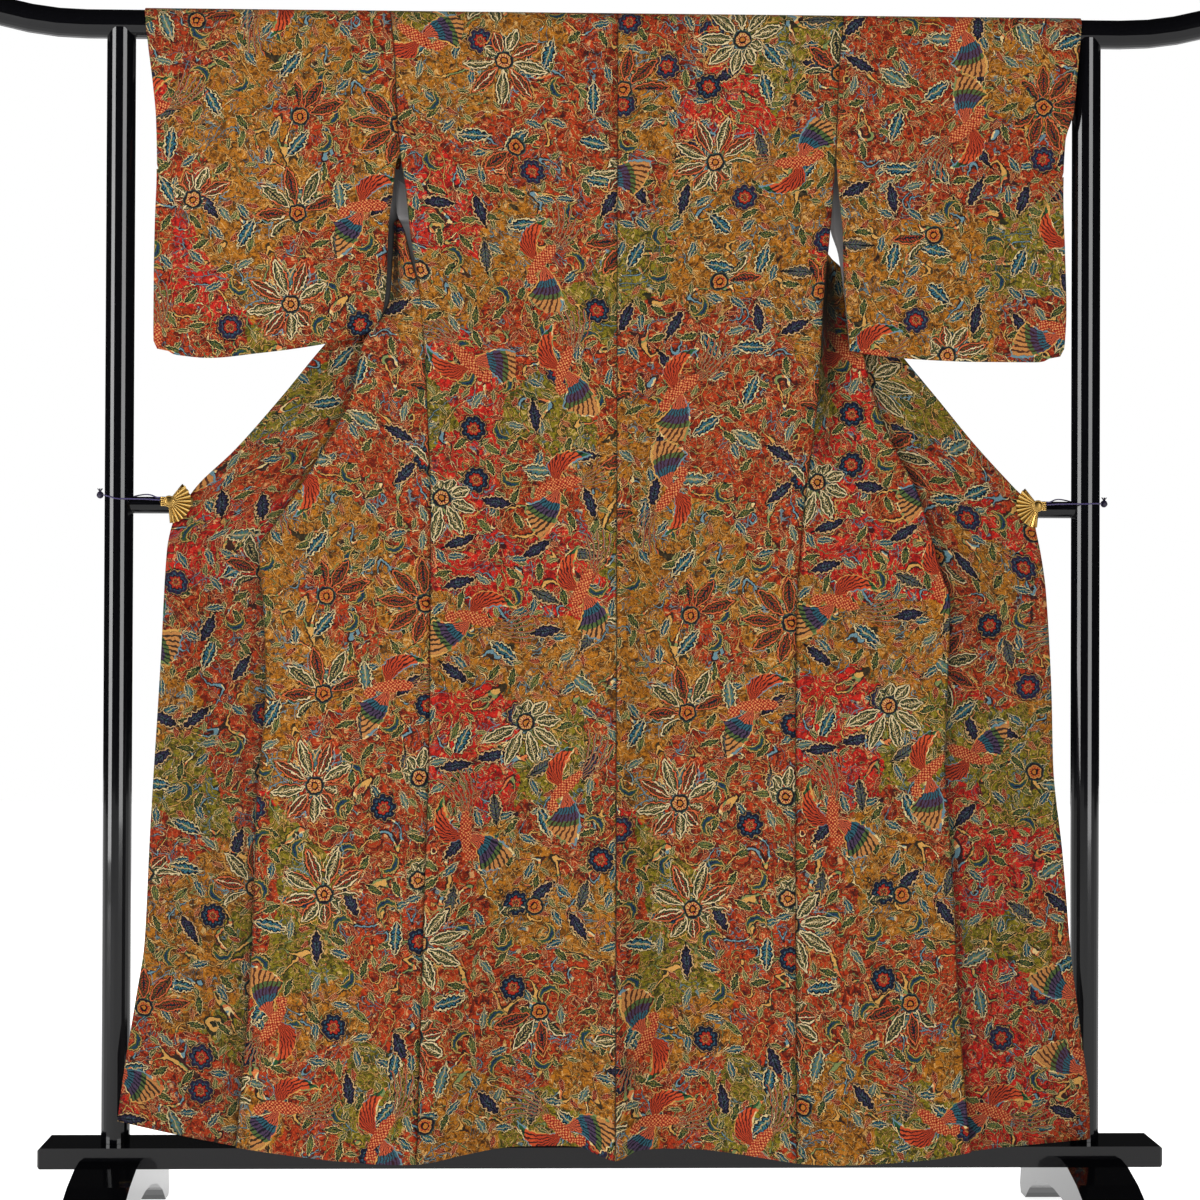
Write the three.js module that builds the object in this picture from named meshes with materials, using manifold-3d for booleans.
// A kimono hung open over a lacquered kimono stand, its back to the front.
// Millimetres, +Z up. X runs along the stand's rail and the kimono's back faces -Y.
// The origin is on the floor, under the middle of the stand.

import * as THREE from 'three';
import { mergeVertices } from 'three/addons/utils/BufferGeometryUtils.js';
import Module from 'manifold-3d';

const wasm = await Module();
wasm.setup();

// ---- Driving dimensions ----------------------------------------------------------------

const GAP = 0.3; // parting between neighbouring pieces
const CLOTH = 2; // wall of the lined cloth
const COLLAR = { width: 55, thickness: 3, clearance: 0.8, end: 752 };
const RAIL = { radius: 20.25, z: 1707, straight: 735, sweep: 450, turn: 0.45, tip: 12 };
const POST = { radius: 20.25, x: 687, foot: 128.3, horns: 1699 };
const CROSSBAR = { radius: 12, z: 1026 };
const PLANK = { length: 1576, depth: 100, low: 99, high: 128, bevel: 3 };
const FOOT = { width: 85 };
const KIMONO_X = 15; // the kimono hangs this far to the right of the stand's middle
const WRAP_STEP = Math.PI / 8; // facets of the cloth round the rail
const WRAP = (RAIL.radius + GAP) / Math.cos(WRAP_STEP / 2) + CLOTH / 2;
const SHOULDER_Z = RAIL.z + WRAP;
const LENGTH = 1600; // from the shoulder's top to the hem
const HEM_BLEND = 1000; // below this drop the rows lean into the hem's own line
const NECK = { drop: 12, radius: 92, angle: 0.995, end: 54.5 };
const FRONT_WIDTH = 246; // a front panel, from its side seam to its overlap seam
const SEAM_HIDDEN = 4; // the overlap's seam lies this far behind the fold
const TIP_WIDTH = 6; // the overlap's blunt upper tip
const TUCK = 3.5; // between the layers' middles at a fold
const MIN_FOLD = 6; // no layer is folded narrower than this
const CUFF = 230; // the sleeve's opening for the hand, from the shoulder down
const ARMHOLE = 207; // the sleeve is sewn on down to here
const SIDE_BLEND = 205; // below the armhole, a front's edge comes to the back's over this drop
const BACK = { lean: 40, ridge: 45, growth: 1.3, centre: 0.27, side: 0.42 };
const VALLEY_TOP = 0.35; // where a front's side valley is deepest, as a share of its width
const OKUMI_VALLEY = 0.85; // share of the overlap's width that its valley takes
const OKUMI_SHORT = 12; // an overlap that clears the fold by less than this hangs by its width
const TIP_SEARCH = [ARMHOLE - 40, 396]; // the overlap's tip lies between these drops
const SLEEVE_FREE = 60; // above this drop the sleeve's halves hang from the rail alone

// ---- Tables: the first list names the columns, and drop is measured down from the shoulder

const table = (columns, rows) =>
  rows.map((row) => Object.fromEntries(columns.map((column, at) => [column, row[at]])));

// A smooth curve through one column of a table, with no overshoot
function reader(rows, key, column) {
  const x = rows.map((row) => row[key]);
  const y = rows.map((row) => row[column]);
  const last = x.length - 1;
  const slope = (i) => (y[i + 1] - y[i]) / (x[i + 1] - x[i]);
  const tangent = x.map((_, i) => {
    if (i === 0) return slope(0);
    if (i === last) return slope(last - 1);
    const before = slope(i - 1);
    const after = slope(i);
    return before * after <= 0 ? 0 : (2 * before * after) / (before + after);
  });
  return (at) => {
    if (at <= x[0]) return y[0];
    if (at >= x[last]) return y[last];
    const i = x.findIndex((value) => value > at) - 1;
    const width = x[i + 1] - x[i];
    const t = (at - x[i]) / width;
    const near = y[i] * (1 + 2 * t) * (1 - t) ** 2 + tangent[i] * width * t * (1 - t) ** 2;
    const far = y[i + 1] * t * t * (3 - 2 * t) - tangent[i + 1] * width * t * t * (1 - t);
    return near + far;
  };
}

const read = (columns, rows) => {
  const named = table(columns, rows);
  return reader(named, columns[0], columns[1]);
};

// Edges and folds of each half, as distances out from the centre seam
const LEFT = {
  name: 'left',
  sign: -1,
  armSeam: read(['drop', 'out'], [[0, 322], [71, 314.6], [143, 311.8], [207, 306.5]]),
  backEdge: read(['drop', 'out'], [
    [0, 322], [71, 314.6], [143, 311.8], [207, 306.5], [256, 298.5], [324, 291], [412, 277],
    [548, 267], [733, 260], [974, 260], [1258, 266], [1600, 274],
  ]),
  frontEdge: read(['drop', 'out'], [
    [0, 322], [71, 314.6], [143, 311.8], [207, 306.5], [260, 313], [287, 312], [312, 301],
    [360, 289.5], [412, 277.3], [548, 267.3], [733, 260.3], [974, 260.3], [1258, 266.3],
    [1600, 274.3],
  ]),
  fold: read(['drop', 'out'], [
    [260, 314], [312, 313], [360, 315], [412, 318], [440, 330], [471, 354], [548, 371],
    [619, 406], [677, 441], [736, 480], [768, 498], [841, 492], [954, 487], [1134, 499],
    [1300, 502], [1446, 510], [1600, 522],
  ]),
  turn: read(['drop', 'out'], [
    [75, 84], [100, 89], [150, 103], [207, 123], [260, 142], [312, 163], [360, 186], [412, 211],
    [471, 271], [548, 313], [619, 372], [700, 443], [768, 490], [841, 484], [954, 479],
    [1134, 491], [1300, 494], [1446, 502], [1600, 514],
  ]),
  outerEdge: read(['drop', 'out'], [
    [53, 77], [100, 105], [150, 140], [200, 178], [260, 218], [312, 258], [360, 302],
    [412, 352], [471, 410], [551, 474], [627, 539], [675, 588], [700, 606], [721, 620],
    [768, 630], [913, 637], [1164, 650], [1330, 657], [1410, 668], [1560, 689], [1600, 693],
  ]),
  foldDepth: read(['drop', 'depth'], [
    [207, 6], [287, -6], [350, -14], [412, -20], [470, -26], [560, -33], [700, -38],
    [760, -40], [1000, -50], [1300, -62], [1600, -80],
  ]),
  turnDepth: read(['drop', 'depth'], [
    [22, 22], [150, 20], [207, 16], [312, 8], [412, -4], [470, -10], [560, -20], [640, -27],
    [700, -33], [760, -36.5], [1000, -46.5], [1300, -58.5], [1600, -76.5],
  ]),
  edgeDepth: read(['drop', 'depth'], [
    [22, 22.5], [207, 20], [312, 16], [412, 6], [470, -2], [560, -12], [640, -20], [700, -27],
    [760, -31], [1000, -36], [1300, -40], [1600, -38],
  ]),
  sideValley: read(['drop', 'depth'], [[412, 0], [700, 4], [1000, 0]]),
  sleeve: {
    outer: read(['drop', 'out'], [
      [0, 668], [60, 661], [106, 655], [162, 650], [234, 649], [306, 651], [379, 652], [491, 652],
    ]),
    inner: read(['drop', 'out'], [
      [207, 306.8], [215, 311], [263, 316.7], [307, 322], [396, 326], [429, 330.5], [440, 334],
      [460, 345],
    ]),
    farInner: read(['drop', 'out'], [
      [207, 306.8], [232, 314], [260, 317], [312, 317], [360, 318.5], [396, 323], [440, 334],
      [460, 345],
    ]),
    bottom: read(['out', 'drop'], [
      [334, 440], [340, 448], [350, 457], [369, 464], [442, 478.5], [514, 488], [586, 495],
      [633, 491], [652, 489],
    ]),
  },
};

const RIGHT = {
  name: 'right',
  sign: 1,
  armSeam: read(['drop', 'out'], [[0, 322], [71, 314.6], [143, 311.8], [207, 309]]),
  backEdge: read(['drop', 'out'], [
    [0, 322], [71, 314.6], [143, 311.8], [207, 309], [312, 301], [412, 291], [537, 284],
    [733, 260], [841, 252.6], [974, 250.7], [1258, 249.7], [1600, 250],
  ]),
  frontEdge: read(['drop', 'out'], [
    [0, 322], [71, 314.6], [143, 311.8], [207, 309], [260, 300], [312, 292], [350, 291],
    [386, 295.4], [412, 292.6], [537, 285.6], [733, 260.8], [841, 252.9], [974, 251],
    [1258, 250], [1600, 250.3],
  ]),
  fold: read(['drop', 'out'], [
    [312, 292], [341, 300], [359, 318], [412, 335], [489, 351], [551, 365], [609, 387],
    [681, 423], [739, 441], [801, 459], [833, 469], [950, 465], [1060, 461], [1158, 467],
    [1256, 473], [1343, 476], [1480, 484], [1610, 495],
  ]),
  turn: read(['drop', 'out'], [
    [75, 84], [100, 89], [150, 103], [207, 123], [260, 142], [312, 163], [360, 186], [412, 221],
    [489, 259], [551, 291], [609, 335], [681, 394], [739, 420], [801, 444], [833, 457],
    [950, 455], [1060, 452], [1158, 459], [1256, 465], [1343, 468], [1480, 476], [1610, 487],
  ]),
  outerEdge: read(['drop', 'out'], [
    [53, 77], [100, 105], [150, 140], [200, 178], [260, 218], [312, 258], [360, 302],
    [412, 352], [495, 417.5], [547, 459], [609, 508], [674, 566], [700, 590], [732, 595],
    [768, 602], [822, 609], [974, 617], [1066, 619], [1190, 632], [1342, 645], [1458, 660],
    [1550, 671], [1600, 672],
  ]),
  foldDepth: read(['drop', 'depth'], [
    [207, 6], [287, 2], [350, -1], [412, -3], [489, -8], [560, -22], [620, -31], [700, -38],
    [760, -40], [1000, -50], [1300, -62], [1600, -80],
  ]),
  turnDepth: read(['drop', 'depth'], [
    [22, 22], [150, 20], [207, 16], [312, 8], [412, 0], [489, -7], [560, -19], [640, -28],
    [700, -34], [760, -36.5], [1000, -46.5], [1300, -58.5], [1600, -76.5],
  ]),
  edgeDepth: read(['drop', 'depth'], [
    [22, 22.5], [207, 20], [312, 16], [412, 9], [489, 3], [560, -9], [640, -20], [700, -27],
    [760, -31], [1000, -36], [1300, -40], [1600, -38],
  ]),
  sideValley: read(['drop', 'depth'], [
    [340, 0], [412, 40], [489, 34], [537, 25], [620, 12], [700, 5], [1000, 0],
  ]),
  sleeve: {
    outer: read(['drop', 'out'], [
      [0, 662], [84, 654], [139, 649], [179, 638], [258, 635.5], [338, 638], [419, 640], [491, 636],
    ]),
    inner: read(['drop', 'out'], [
      [207, 309.3], [258, 313.5], [315, 319.5], [378, 321.5], [437, 327.5], [477, 331],
    ]),
    farInner: read(['drop', 'out'], [
      [207, 309.3], [254, 305], [300, 305], [340, 316], [437, 327.5], [477, 331],
    ]),
    bottom: read(['out', 'drop'], [
      [333, 478.5], [365, 484], [444, 490.6], [525, 493], [604, 493], [640, 491],
    ]),
  },
};

// The hem's height above the floor, along the whole width
const hemHeight = read(['x', 'height'], [
  [-697, 164.6], [-666, 158.6], [-618, 149.8], [-530, 135.7], [-437, 123.6], [-373, 117.9],
  [-308, 114.7], [-275, 115.8], [-209, 126.3], [-139, 132.8], [-50, 133.1], [-20, 124],
  [0, 119.5], [33, 129.4], [102, 128.6], [170, 125.1], [238, 118.6], [263, 114.7], [318, 112],
  [365, 112.8], [444, 117.6], [504, 126.7], [605, 132.9], [672, 136.5],
]);

// Depth of the sewn shoulder line behind the rail, and of each sleeve half below it
const armSeamDepth = read(['drop', 'depth'], [[22, 22], [100, 16], [207, 7]]);
const sleeveNear = read(['drop', 'depth'], [
  [22, -22.4], [100, -25.8], [207, -30.5], [350, -27], [490, -20],
]);
const sleeveFar = read(['drop', 'depth'], [[22, 22], [100, 16], [207, 7], [350, -4], [490, -15]]);
const overlapValley = read(['drop', 'depth'], [[720, 0], [860, 8], [1000, 9], [1250, 0]]);

// Rows of the cloth, as drops
const BACK_ROWS = [
  LENGTH, 1480, 1340, 1180, 1020, 860, 733, 600, 500, 412, 330, 260, ARMHOLE, 150, 90, 50,
];
const FRONT_ROWS = [
  14, 20, 30, 42, 54, 75, 100, 150, 207, 260, 286, 312, 336, 360, 386, 412, 440, 471, 510,
  548, 584, 619, 660, 700, 736, 768, 841, 954, 1134, 1300, 1446, LENGTH,
];
const SLEEVE_ROWS = [50, 90, 150, 207, 230, 270, 330, 390, 440, 470, 488];
const SLEEVE_COLUMNS = [0, 0.12, 0.3, 0.5, 0.68, 0.82, 0.93, 1];
const SLEEVE = { drop: 488, corner: 21, ease: 170, seamDepth: -15, footDepth: -17 };
const SEAM_FLAT = 0.016; // share of a back's width that lies flat beside the centre seam
const BACK_COLUMNS = [0, 0.08, 0.2, 0.36, 0.54, 0.72, 0.88, 1 - SEAM_FLAT, 1];

// ---- Small maths -----------------------------------------------------------------------

const mix = (a, b, t) => a + (b - a) * t;
const clamp = (value, low, high) => Math.min(Math.max(value, low), high);
const smooth = (t) => clamp(t, 0, 1) ** 2 * (3 - 2 * clamp(t, 0, 1));
const rounding = (left) =>
  SLEEVE.corner - Math.sqrt(SLEEVE.corner ** 2 - (SLEEVE.corner - clamp(left, 0, SLEEVE.corner)) ** 2);
const steps = (count) => Array.from({ length: count + 1 }, (_, i) => i / count);
const wrapDepth = (drop) => Math.sqrt(Math.max(drop * (2 * WRAP - drop), 0));
const wrapDrop = (angle) => WRAP * (1 - Math.cos(angle));

// ---- Walls of cloth --------------------------------------------------------------------

// The middle surface of a cloth wall, built row by row
class Sheet {
  constructor() {
    this.points = [];
    this.triangles = [];
  }

  add(x, y, z) {
    return this.points.push(new THREE.Vector3(x, y, z)) - 1;
  }

  // Joins two rows of points by the keys that say how far along the cloth each point lies
  join(a, b) {
    let i = 0;
    let j = 0;
    while (i < a.length - 1 || j < b.length - 1) {
      const alongA = j === b.length - 1 || (i < a.length - 1 && a[i + 1].key <= b[j + 1].key + 1e-9);
      if (alongA) {
        this.triangles.push([a[i].at, a[i + 1].at, b[j].at]);
        i += 1;
      } else {
        this.triangles.push([a[i].at, b[j + 1].at, b[j].at]);
        j += 1;
      }
    }
  }

  // Turns the surface into one closed wall, half its thickness to each side
  thicken(thickness) {
    const normals = this.points.map(() => new THREE.Vector3());
    for (const triangle of this.triangles) {
      const [a, b, c] = triangle.map((at) => this.points[at]);
      const normal = new THREE.Triangle(a, b, c).getNormal(new THREE.Vector3());
      triangle.forEach((at, corner) => {
        const here = this.points[at];
        const one = this.points[triangle[(corner + 1) % 3]].clone().sub(here);
        const other = this.points[triangle[(corner + 2) % 3]].clone().sub(here);
        normals[at].addScaledVector(normal, one.angleTo(other));
      });
    }
    const count = this.points.length;
    const positions = [];
    for (const side of [0.5, -0.5]) {
      this.points.forEach((point, at) => {
        const moved = point.clone().addScaledVector(normals[at].normalize(), side * thickness);
        positions.push(moved.x, moved.y, moved.z);
      });
    }
    const index = [];
    const edges = new Map();
    for (const [a, b, c] of this.triangles) {
      index.push(a, b, c, a + count, c + count, b + count);
      for (const [from, to] of [[a, b], [b, c], [c, a]]) edges.set(`${from} ${to}`, [from, to]);
    }
    for (const [from, to] of edges.values()) {
      if (edges.has(`${to} ${from}`)) continue;
      index.push(to, from, from + count, to, from + count, to + count);
    }
    return solid(positions, index);
  }
}

function solid(positions, index) {
  const geometry = new THREE.BufferGeometry();
  geometry.setAttribute('position', new THREE.Float32BufferAttribute(positions, 3));
  geometry.setIndex(index);
  geometry.computeVertexNormals();
  return geometry;
}

// ---- The cloth's depth and height ------------------------------------------------------

const heightAt = (side, out, drop) => {
  if (drop <= HEM_BLEND) return SHOULDER_Z - drop;
  const start = SHOULDER_Z - HEM_BLEND;
  return mix(start, hemHeight(side.sign * out), (drop - HEM_BLEND) / (LENGTH - HEM_BLEND));
};

// The back hangs in soft ridges at the centre and side seams, which grow towards the hem
function backDepth(out, edge, drop) {
  if (drop < WRAP) return -wrapDepth(drop);
  const along = Math.max(out / edge, SEAM_FLAT);
  const ridge = BACK.ridge * (drop / LENGTH) ** BACK.growth;
  const centre = Math.max(1 - along / BACK.centre, 0) ** 1.6;
  const seam = smooth((along - BACK.side) / (1 - BACK.side));
  return -WRAP - (BACK.lean * drop) / LENGTH - ridge * (centre + seam);
}

const backEdgeDepth = (side, drop) => backDepth(side.backEdge(drop), side.backEdge(drop), drop);

function frontEdgeDepth(side, drop) {
  if (drop < WRAP) return wrapDepth(drop);
  if (drop <= ARMHOLE) return armSeamDepth(drop);
  return mix(armSeamDepth(ARMHOLE), backEdgeDepth(side, drop), smooth((drop - ARMHOLE) / SIDE_BLEND));
}

// ---- One level of a front: from the side seam out to the fold, back in, and out again -----

function foldPoints(out, depth, facing, key) {
  return [-60, -20, 20, 60].map((degrees, at) => {
    const angle = (degrees * Math.PI) / 180;
    return {
      out: out + (facing * TUCK * Math.cos(angle)) / 2,
      depth: depth + (TUCK * (1 + Math.sin(angle))) / 2,
      key: key + 0.02 * (at + 1),
    };
  });
}

function frontSection(side, drop) {
  const start = { out: side.frontEdge(drop), depth: frontEdgeDepth(side, drop) };
  if (drop < NECK.end) {
    const inner = NECK.radius - (drop - NECK.drop);
    const neck = Math.sqrt(NECK.radius ** 2 - inner ** 2);
    const depth = drop < WRAP ? wrapDepth(drop) : side.edgeDepth(drop);
    return steps(8).map((t) => ({
      out: mix(start.out, neck, t),
      depth: mix(start.depth, depth, t),
      key: 1 + t,
    }));
  }
  const path = [];
  const fold = { out: side.fold(drop), depth: side.foldDepth(drop) };
  const turn = { out: side.turn(drop), depth: side.turnDepth(drop) };
  const end = { out: side.outerEdge(drop), depth: side.edgeDepth(drop) };
  const folded = drop > ARMHOLE && fold.out - start.out >= MIN_FOLD;
  let from = start;
  if (folded) {
    for (const t of steps(5)) {
      const valley = (side.sideValley(drop) * smooth(t / VALLEY_TOP) * (1 - t)) / (1 - VALLEY_TOP);
      path.push({
        out: mix(start.out, fold.out, t),
        depth: Math.min(mix(start.depth, fold.depth, t) + valley, fold.depth),
        key: t,
      });
    }
    path.push(...foldPoints(fold.out, fold.depth, 1, 1));
    from = { out: fold.out, depth: fold.depth + TUCK };
  }
  for (const t of steps(from.out - turn.out < 20 ? 1 : 4)) {
    path.push({ out: mix(from.out, turn.out, t), depth: mix(from.depth, turn.depth, t), key: 1.1 + 0.9 * t });
  }
  path.push(...foldPoints(turn.out, turn.depth, -1, 2));
  const again = { out: turn.out, depth: turn.depth + TUCK };
  const crossing = clamp((from.out - again.out) / (end.out - again.out), 0, 1);
  const over = Math.max(mix(again.depth, end.depth, crossing), from.depth + TUCK);
  const passed = folded && crossing < 0.98 ? { out: from.out, depth: over } : null;
  const stations = passed ? [again, passed, end] : [again, end];
  stations.slice(1).forEach((next, at) => {
    const last = stations[at];
    const parts = at === 0 && passed ? (next.out - last.out < 20 ? 1 : 3) : 5;
    for (const t of steps(parts)) {
      if (at > 0 && t === 0) continue;
      const share = (mix(last.out, next.out, t) - again.out) / (end.out - again.out);
      const sag = Math.sin(Math.PI * Math.min(t / OKUMI_VALLEY, 1)) ** 2;
      const valley = at > 0 ? overlapValley(drop) * sag : 0;
      path.push({
        out: mix(last.out, next.out, t),
        depth: mix(last.depth, next.depth, t) + valley,
        key: 2.1 + 0.9 * share,
      });
    }
  });
  return path;
}

// Lengths along a section
function lengths(path) {
  const found = [0];
  path.slice(1).forEach((point, at) => {
    found.push(found[at] + Math.hypot(point.out - path[at].out, point.depth - path[at].depth));
  });
  return found;
}

function pointAt(path, measured, length) {
  const next = clamp(measured.findIndex((value) => value >= length), 1, path.length - 1);
  const t = (length - measured[next - 1]) / (measured[next] - measured[next - 1]);
  const [a, b] = [path[next - 1], path[next]];
  return { out: mix(a.out, b.out, t), depth: mix(a.depth, b.depth, t), key: mix(a.key, b.key, t) };
}

// Where the overlap panel is sewn on, as a length along the section
function overlapSeam(side, drop, path, measured) {
  const last = path.length - 1;
  const fold = side.fold(drop);
  const outward = path.findIndex((point) => point.key > 2.1 && point.out >= fold - SEAM_HIDDEN);
  if (outward < 0 || path[last].out < fold + OKUMI_SHORT) {
    return { seam: FRONT_WIDTH, bend: FRONT_WIDTH + 2 * SEAM_HIDDEN };
  }
  const [a, b] = [path[outward - 1], path[outward]];
  const t = clamp((fold - SEAM_HIDDEN - a.out) / (b.out - a.out), 0, 1);
  const seam = mix(measured[outward - 1], measured[outward], t);
  return { seam, bend: seam + SEAM_HIDDEN };
}

const spareWidth = (side, drop) => lengths(frontSection(side, drop)).pop() - FRONT_WIDTH;

function cutSection(side, drop, tip) {
  const path = frontSection(side, drop);
  if (drop < tip) return { front: path };
  const measured = lengths(path);
  const total = measured[measured.length - 1];
  const { seam, bend } = overlapSeam(side, drop, path, measured);
  const front = path.filter((_, at) => measured[at] < seam - 0.5);
  front.push(pointAt(path, measured, seam));
  const turned = Math.min(bend, mix(seam, total, 0.4));
  const along = [seam + GAP, ...steps(5).map((t) => mix(turned, total, t))];
  const overlap = along.map((length, at) => ({ ...pointAt(path, measured, length), key: at }));
  return { front, overlap };
}

// ---- The panels ------------------------------------------------------------------------

const place = (sheet, side, point, drop) => ({
  at: sheet.add(side.sign * point.out, point.depth, heightAt(side, point.out, drop)),
  key: point.key,
});

function ordered(side, row) {
  return side.sign < 0 ? row : row.map(({ at, key }) => ({ at, key: -key })).reverse();
}

function joinRows(sheet, side, rows) {
  rows.slice(1).forEach((row, at) => sheet.join(ordered(side, rows[at]), ordered(side, row)));
}

// The drop where the front becomes wide enough for the overlap panel's tip
function overlapTip(side) {
  let [low, high] = TIP_SEARCH;
  for (let turn = 0; turn < 30; turn += 1) {
    const middle = (low + high) / 2;
    if (spareWidth(side, middle) > TIP_WIDTH) high = middle;
    else low = middle;
  }
  return high;
}

function frontDrops(side) {
  const tip = overlapTip(side);
  const drops = FRONT_ROWS.filter((drop) => Math.abs(drop - tip) > 2 * TIP_WIDTH);
  return { tip, drops: [...drops, tip].sort((a, b) => a - b) };
}

// One half of the body: up the back, over the shoulder and down the front in one cloth
function body(side) {
  const sheet = new Sheet();
  const rows = [];
  const level = (drop, behind) => {
    const edge = side.backEdge(drop);
    rows.push(BACK_COLUMNS.map((t) => {
      const out = mix(edge, GAP / 2, t);
      const depth = behind ? wrapDepth(drop) : backDepth(out, edge, drop);
      return place(sheet, side, { out, depth, key: 1 + t }, drop);
    }));
  };
  BACK_ROWS.forEach((drop) => level(drop, false));
  for (const turn of [4, 3, 2, 1, 0]) level(wrapDrop(turn * WRAP_STEP), false);
  for (const turn of [1, 2]) level(wrapDrop(turn * WRAP_STEP), true);
  level(NECK.drop, true);
  const { tip, drops } = frontDrops(side);
  for (const drop of drops) {
    rows.push(cutSection(side, drop, tip).front.map((point) => place(sheet, side, point, drop)));
  }
  joinRows(sheet, side, rows);
  return sheet.thicken(CLOTH);
}

// The narrow overlap panel, from its tip beside the collar down to the hem
function overlap(side) {
  const sheet = new Sheet();
  const { tip, drops } = frontDrops(side);
  const rows = drops
    .filter((drop) => drop >= tip)
    .map((drop) => cutSection(side, drop, tip).overlap.map((point) => place(sheet, side, point, drop)));
  joinRows(sheet, side, rows);
  return sheet.thicken(CLOTH);
}

// A sleeve: two halves joined over the shoulder, down the outer edge below the cuff and
// along the bottom, and open at the cuff and at the inner edge
function sleeve(side) {
  const { outer, inner, farInner, bottom } = side.sleeve;
  const sheet = new Sheet();
  const lowest = (out) => bottom(out) - rounding(outer(SLEEVE.drop) - out);
  const innerAt = (drop, behind) => {
    if (drop <= ARMHOLE) return side.armSeam(drop) + GAP;
    return behind ? farInner(drop) : inner(drop);
  };
  const middle = (drop) => mix(SLEEVE.seamDepth, SLEEVE.footDepth, clamp((drop - CUFF) / 250, 0, 1));

  // How far the halves stand apart, from 0 at a sewn edge to 1 where they hang free
  const apart = (drop, out) => {
    if (drop < SLEEVE_FREE) return 1;
    const fromBottom = smooth((lowest(out) - drop) / SLEEVE.ease);
    const fromEdge = smooth((outer(drop) - out) / SLEEVE.ease);
    const open = smooth((CUFF - drop) / (CUFF - SLEEVE_FREE));
    return fromBottom * mix(fromEdge, 1, open);
  };
  const depthOf = (drop, out, behind) => {
    if (drop < WRAP) return behind ? wrapDepth(drop) : -wrapDepth(drop);
    const sewn = middle(drop) + (behind ? TUCK : -TUCK) / 2;
    return mix(sewn, behind ? sleeveFar(drop) : sleeveNear(drop), apart(drop, out));
  };

  // One point of a half: t runs from the inner edge to the outer, and level down the sleeve
  const station = (t, level, behind) => {
    const [top, full] = [outer(level), innerAt(level, behind)];
    const guess = mix(full, top - (level > CUFF ? TUCK / 2 : 0), t);
    const corner = t === 1 ? SLEEVE.corner * (1 - Math.SQRT1_2) : 0;
    const floor = (corner > 0 ? bottom(guess) - corner : lowest(guess)) - TUCK / 2;
    const drop = level <= ARMHOLE ? level : mix(ARMHOLE, floor, (level - ARMHOLE) / (SLEEVE.drop - ARMHOLE));
    const inside = innerAt(drop, behind);
    const edge = outer(drop) - (level >= CUFF ? TUCK / 2 : 0) - rounding(floor + TUCK / 2 + corner - drop);
    const out = mix(inside, edge, t);
    const depth = depthOf(drop, out, behind);
    return { out, drop, at: sheet.add(side.sign * out, depth, SHOULDER_Z - drop), key: t };
  };
  const half = (behind) =>
    SLEEVE_ROWS.map((level) => SLEEVE_COLUMNS.map((t) => station(t, level, behind)));
  const wrapRow = (turn) => {
    const drop = wrapDrop(Math.abs(turn) * WRAP_STEP);
    return SLEEVE_COLUMNS.map((t) => ({
      at: sheet.add(
        side.sign * mix(side.armSeam(drop) + GAP, outer(drop), t),
        Math.sign(turn) * wrapDepth(drop),
        SHOULDER_Z - drop,
      ),
      key: t,
    }));
  };
  const near = half(false);
  const far = half(true);
  const over = [-4, -3, -2, -1, 0, 1, 2, 3, 4].map(wrapRow);
  joinRows(sheet, { sign: -side.sign }, [...[...near].reverse(), ...over, ...far]);

  // The sewn outer edge and bottom are a narrow bend that the two halves share
  const last = SLEEVE_COLUMNS.length - 1;
  const sewnRows = SLEEVE_ROWS.map((level, at) => at).filter((at) => SLEEVE_ROWS[at] >= CUFF);
  const foot = SLEEVE_ROWS.length - 1;
  const rim = [
    ...sewnRows.map((row) => ({ row, column: last, outward: 1, down: row === foot ? 1 : 0 })),
    ...SLEEVE_COLUMNS.slice(1).map((_, at) => ({ row: foot, column: last - 1 - at, outward: 0, down: 1 })),
  ];
  const shared = rim.map(({ row, column, outward, down }, at) => {
    const point = near[row][column];
    const reach = TUCK / 2 / Math.hypot(outward, down);
    const [out, drop] = [point.out + reach * outward, point.drop + reach * down];
    return { at: sheet.add(side.sign * out, middle(drop), SHOULDER_Z - drop), key: at };
  });
  const along = (rows) => rim.map(({ row, column }, at) => ({ at: rows[row][column].at, key: at }));
  const strips = [[along(near), shared], [shared, along(far)]];
  for (const [one, other] of strips) {
    if (side.sign > 0) sheet.join(one, other);
    else sheet.join(other, one);
  }
  return sheet.thicken(CLOTH);
}

// ---- The collar: one band behind the fronts' edges, round the neck -------------------------

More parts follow.
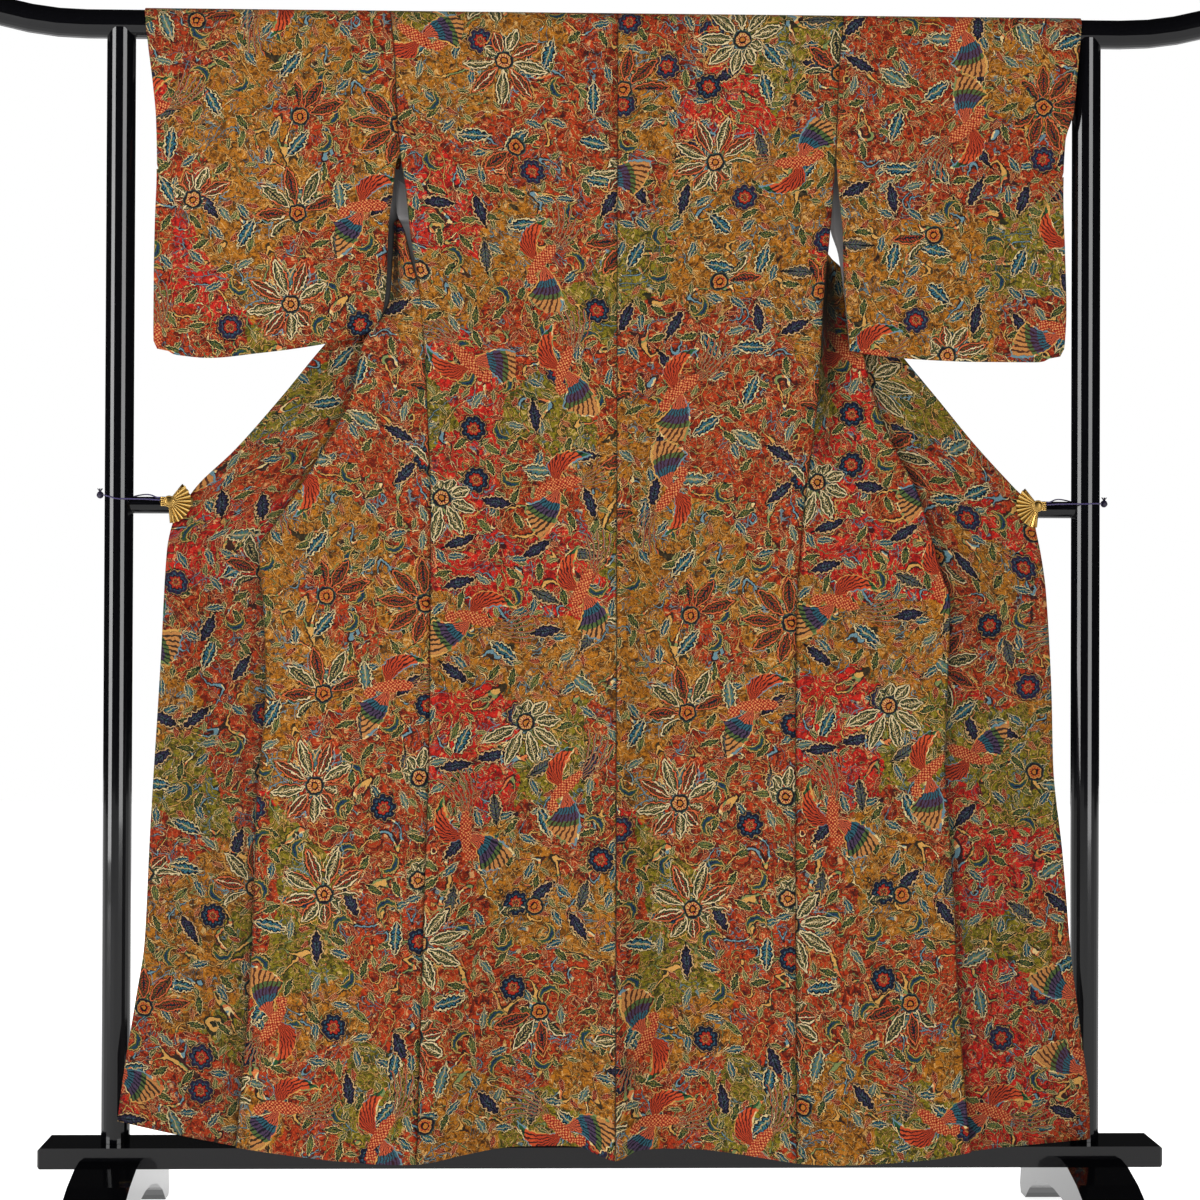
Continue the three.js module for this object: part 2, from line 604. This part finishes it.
function collar() {
  const stations = [];
  const drops = [COLLAR.end, ...FRONT_ROWS.filter((drop) => drop > 60 && drop < COLLAR.end).reverse()];
  const flank = (side, drop) => ({ x: side.sign * side.outerEdge(drop), drop, side });
  drops.forEach((drop) => stations.push(flank(LEFT, drop)));
  for (const t of steps(10)) {
    const angle = mix(-NECK.angle, NECK.angle, t);
    stations.push({
      x: NECK.radius * Math.sin(angle),
      drop: NECK.drop + NECK.radius * (1 - Math.cos(angle)),
      side: LEFT,
    });
  }
  [...drops].reverse().forEach((drop) => stations.push(flank(RIGHT, drop)));
  const sheet = new Sheet();
  const rows = stations.map((station, at) => {
    const before = stations[Math.max(at - 1, 0)];
    const after = stations[Math.min(at + 1, stations.length - 1)];
    const along = new THREE.Vector2(after.x - before.x, before.drop - after.drop).normalize();
    return [0, 0.5, 1].map((t) => {
      const x = station.x + along.y * COLLAR.width * t;
      const drop = station.drop + along.x * COLLAR.width * t;
      const { edgeDepth, turnDepth } = station.side;
      const level = Math.max(edgeDepth(drop), turnDepth(drop) + TUCK) + overlapValley(drop);
      const depth = level + CLOTH / 2 + COLLAR.clearance + COLLAR.thickness / 2;
      return { at: sheet.add(x, depth, SHOULDER_Z - drop), key: t };
    });
  });
  rows.slice(1).forEach((row, at) => sheet.join(row, rows[at]));
  return sheet.thicken(COLLAR.thickness);
}

// ---- Solids cut and joined -----------------------------------------------------------------

function toManifold(geometry) {
  const bare = geometry.clone();
  bare.deleteAttribute('normal');
  bare.deleteAttribute('uv');
  const merged = mergeVertices(bare, 1e-4);
  return new wasm.Manifold(new wasm.Mesh({
    numProp: 3,
    vertProperties: new Float32Array(merged.attributes.position.array),
    triVerts: new Uint32Array(merged.index.array),
  }));
}

function fromManifold(manifold) {
  const mesh = manifold.getMesh();
  return solid(Array.from(mesh.vertProperties), Array.from(mesh.triVerts));
}

// A round bar along X, Y or Z between two places
function bar(radius, from, to, axis, sides = 24) {
  const geometry = new THREE.CylinderGeometry(radius, radius, to - from, sides);
  if (axis === 'x') geometry.rotateZ(Math.PI / 2);
  if (axis === 'z') geometry.rotateX(Math.PI / 2);
  const middle = (from + to) / 2;
  return geometry.translate(axis === 'x' ? middle : 0, axis === 'y' ? middle : 0, axis === 'z' ? middle : 0);
}

// ---- The stand -----------------------------------------------------------------------------

// The rail: straight, then swept up at each end, with rounded tips
function rail() {
  const sides = 24;
  const half = [{ x: RAIL.straight, rise: 0, lean: 0, radius: RAIL.radius }];
  for (const t of steps(5).slice(1)) {
    const lean = RAIL.turn * t;
    half.push({
      x: RAIL.straight + RAIL.sweep * Math.sin(lean),
      rise: RAIL.sweep * (1 - Math.cos(lean)),
      lean,
      radius: RAIL.radius,
    });
  }
  const tip = half[half.length - 1];
  for (const degrees of [35, 65]) {
    const angle = (degrees * Math.PI) / 180;
    const ahead = RAIL.tip * Math.sin(angle);
    half.push({
      x: tip.x + ahead * Math.cos(tip.lean),
      rise: tip.rise + ahead * Math.sin(tip.lean),
      lean: tip.lean,
      radius: RAIL.radius * Math.cos(angle) ** 0.6,
    });
  }
  const mirrored = half.map((ring) => ({ ...ring, x: -ring.x, lean: -ring.lean })).reverse();
  const rings = [...mirrored, ...half];
  const positions = [];
  const index = [];
  rings.forEach((ring, at) => {
    for (let i = 0; i < sides; i += 1) {
      const angle = (2 * Math.PI * i) / sides;
      const up = ring.radius * Math.cos(angle);
      positions.push(
        ring.x - up * Math.sin(ring.lean),
        ring.radius * Math.sin(angle),
        RAIL.z + ring.rise + up * Math.cos(ring.lean),
      );
      if (at === 0) continue;
      const [a, b] = [at * sides + i, at * sides + ((i + 1) % sides)];
      index.push(a - sides, b, b - sides, a - sides, a, b);
    }
  });
  const last = (rings.length - 1) * sides;
  for (let i = 1; i < sides - 1; i += 1) {
    index.push(0, i, i + 1);
    index.push(last, last + i + 1, last + i);
  }
  return solid(positions, index);
}

// A post, hollowed at its top to the rail that it carries
function post() {
  const reach = 3 * POST.radius;
  const shaft = bar(POST.radius, POST.foot, POST.horns, 'z');
  const saddle = bar(RAIL.radius + GAP, -reach, reach, 'x', 48).translate(0, 0, RAIL.z);
  return fromManifold(toManifold(shaft).subtract(toManifold(saddle)));
}

function crossbar() {
  const whole = toManifold(bar(CROSSBAR.radius, -POST.x, POST.x, 'x', 20).translate(0, 0, CROSSBAR.z));
  const reach = 3 * POST.radius;
  const round = bar(POST.radius + GAP, CROSSBAR.z - reach, CROSSBAR.z + reach, 'z', 48);
  const posts = [-1, 1].map((sign) => toManifold(round.clone().translate(sign * POST.x, 0, 0)));
  return fromManifold(whole.subtract(posts[0]).subtract(posts[1]));
}

// Extrudes an outline drawn in Y and Z along X
function alongX(outline, width, bevel = 0) {
  const shape = new THREE.Shape(outline.map(([y, z]) => new THREE.Vector2(y, z)));
  const geometry = new THREE.ExtrudeGeometry(shape, {
    depth: width - 2 * bevel,
    bevelEnabled: bevel > 0,
    bevelSize: bevel,
    bevelOffset: -bevel,
    bevelThickness: bevel,
    bevelSegments: 1,
    steps: 1,
  });
  geometry.translate(0, 0, bevel - width / 2);
  const turn = new THREE.Matrix4().set(0, 0, 1, 0, 1, 0, 0, 0, 0, 1, 0, 0, 0, 0, 0, 1);
  return geometry.applyMatrix4(turn);
}

function plank() {
  const half = PLANK.depth / 2;
  return alongX(
    [[-half, PLANK.low], [half, PLANK.low], [half, PLANK.high], [-half, PLANK.high]],
    PLANK.length,
    PLANK.bevel,
  );
}

function foot() {
  const half = table(['y', 'z'], [
    [215, 0], [250, 0], [258, 12], [250, 40], [206, 77], [150, 95], [90, 107], [51, 110],
    [50.4, 98.7],
  ]);
  const under = table(['y', 'z'], [[0, 58], [60, 55], [120, 44], [180, 22], [200, 10]]);
  const right = [...under, ...half].map(({ y, z }) => [y, z]);
  const left = right.slice(1).reverse().map(([y, z]) => [-y, z]);
  return alongX([...right, ...left], FOOT.width);
}

// ---- Fan clips and cords -------------------------------------------------------------------

const CLIPS = table(['name', 'sign', 'edge', 'pivot', 'z', 'cordZ', 'front', 'rear'], [
  ['left', -1, 606, 624, 1034, 1042, -28.8, -20.2],
  ['right', 1, 590, 606, 1023, 1031, -29.6, -20.8],
]);
const FAN = {
  radius: 31, low: -1.45, high: 0.87, hub: 7, ribs: 10, pleat: 0.8, depth: -33.2, thickness: 1.2,
};
const JAW = { reach: 12, bend: 5, height: 12, arm: 1.9, plate: 3.4 };
const TAB = { length: 9, half: 5, thickness: 2.4, back: 0.4 };
const HUB = { rim: 1, front: 1.6, gap: 0.2 };

// A folding fan of ribs with its pivot outward, on a sprung jaw that grips the cloth's edge
function clip({ sign, edge, pivot, z, front, rear }) {
  const sheet = new Sheet();
  const rows = [FAN.hub, FAN.radius * 0.55, FAN.radius].map((radius, ring) =>
    steps(FAN.ribs * 2).map((t, at) => {
      const angle = mix(FAN.low, FAN.high, t);
      const pleat = (at % 2 ? 1 : -1) * FAN.pleat * (ring === 0 ? 0.2 : 1);
      return {
        at: sheet.add(pivot - radius * Math.cos(angle), FAN.depth + pleat, z + radius * Math.sin(angle)),
        key: t,
      };
    }));
  rows.slice(1).forEach((row, at) => sheet.join(rows[at], row));
  const fan = toManifold(sheet.thicken(FAN.thickness));
  const inner = edge - JAW.reach;
  const outer = edge + JAW.bend;
  const profile = new THREE.Shape([
    [inner, front - JAW.plate], [outer + JAW.arm, front - JAW.plate],
    [outer + JAW.arm, rear + JAW.arm], [inner, rear + JAW.arm],
    [inner, rear], [outer, rear], [outer, front], [inner, front],
  ].map(([x, y]) => new THREE.Vector2(x, y)));
  const jaw = new THREE.ExtrudeGeometry(profile, { depth: JAW.height, bevelEnabled: false });
  jaw.translate(0, 0, z - JAW.height / 2);
  const hub = bar(FAN.hub + HUB.rim, FAN.depth - HUB.front, front - HUB.gap, 'y', 16);
  hub.translate(pivot, 0, z);
  const tab = new THREE.BoxGeometry(TAB.length + FAN.hub, TAB.thickness, 2 * TAB.half);
  tab.translate(pivot + (TAB.length + FAN.hub) / 2, FAN.depth + TAB.back, z);
  const whole = [jaw, hub, tab].reduce((sum, next) => sum.add(toManifold(next)), fan);
  return fromManifold(sign < 0 ? whole.mirror([1, 0, 0]) : whole);
}

const CORD = { diameter: 2.5, clearance: 0.15, off: 0.4 };
const CORD_ROUND = POST.radius + GAP + CORD.diameter / 2 + CORD.clearance;

// The cord's way from the tab to its post, and from the post over the crossbar to the tab.
// along is measured from the cord's start, rise from the clip's height.
const CORD_OUT = table(['along', 'depth', 'rise'], [[0, -32.8, -3], [4, -32.6, -2.8], [16, -30, -1]]);
const CORD_OVER = table(['inward', 'depth', 'rise'], [[27, 14, 18], [36, 2, 18.5]]);
const CORD_BACK = table(['along', 'depth', 'rise'], [[14, -18, 12], [4, -32.2, 3.4], [0, -32.8, 3]]);
const CORD_TURN = [-112, -90, -62, -34, 0, 34, 62, 90, 112]; // degrees round the post

// A cord from the clip's tab, round the post and back over the crossbar to the tab
function cord({ sign, pivot, z, cordZ }) {
  const start = KIMONO_X * sign + pivot + FAN.hub + TAB.length + CORD.off;
  const around = CORD_TURN.map((degrees) => {
    const angle = (degrees * Math.PI) / 180;
    const lift = degrees > 60 ? 3 : 0;
    const height = mix((z + cordZ) / 2, cordZ, Math.cos(angle)) + lift;
    return [POST.x + CORD_ROUND * Math.cos(angle), CORD_ROUND * Math.sin(angle), height];
  });
  const route = [
    ...CORD_OUT.map(({ along, depth, rise }) => [start + along, depth, z + rise]),
    ...around,
    ...CORD_OVER.map(({ inward, depth, rise }) => [POST.x - inward, depth, CROSSBAR.z + rise]),
    ...CORD_BACK.map(({ along, depth, rise }) => [start + along, depth, z + rise]),
  ].map(([x, y, height]) => new THREE.Vector3(sign * x, y, height));
  const curve = new THREE.CatmullRomCurve3(route, false, 'centripetal');
  const section = new THREE.Shape();
  steps(8).slice(1).forEach((t, at) => {
    const angle = 2 * Math.PI * t;
    const [x, y] = [(CORD.diameter / 2) * Math.cos(angle), (CORD.diameter / 2) * Math.sin(angle)];
    if (at === 0) section.moveTo(x, y);
    else section.lineTo(x, y);
  });
  return new THREE.ExtrudeGeometry(section, { steps: 34, extrudePath: curve, bevelEnabled: false });
}

const BEAD = 4.75;
const bead = ({ sign, cordZ }) =>
  new THREE.SphereGeometry(BEAD, 12, 8)
    .rotateX(Math.PI / 2)
    .translate(sign * (POST.x + CORD_ROUND + CORD.diameter / 2 + GAP + BEAD), 0, cordZ);

// ---- The whole -----------------------------------------------------------------------------

const finish = (color, roughness, metalness = 0) =>
  new THREE.MeshStandardMaterial({ color, roughness, metalness });
const cloth = finish(0x9c4a2c, 0.85);
const lacquer = finish(0x0a0a0c, 0.15);
const gold = finish(0xb08a3c, 0.35, 1);
const silk = finish(0x3a1d6e, 0.6);

function named(name, geometry, material, x = 0) {
  const mesh = new THREE.Mesh(geometry, material);
  mesh.name = name;
  mesh.position.x = x;
  return mesh;
}

const kimono = new THREE.Group();
kimono.position.x = KIMONO_X;
for (const side of [LEFT, RIGHT]) {
  kimono.add(named(`body_${side.name}`, body(side), cloth));
  kimono.add(named(`okumi_${side.name}`, overlap(side), cloth));
  kimono.add(named(`sleeve_${side.name}`, sleeve(side), cloth));
}
kimono.add(named('collar', collar(), cloth));

const stand = new THREE.Group();
stand.add(named('rail', rail(), lacquer));
stand.add(named('crossbar', crossbar(), lacquer));
stand.add(named('plank', plank(), lacquer));
for (const row of CLIPS) {
  stand.add(named(`post_${row.name}`, post(), lacquer, row.sign * POST.x));
  stand.add(named(`foot_${row.name}`, foot(), lacquer, row.sign * POST.x));
  kimono.add(named(`clip_${row.name}`, clip(row), gold));
  stand.add(named(`cord_${row.name}`, cord(row), silk));
  stand.add(named(`bead_${row.name}`, bead(row), silk));
}

const whole = new THREE.Group();
whole.add(kimono, stand);

export default whole;
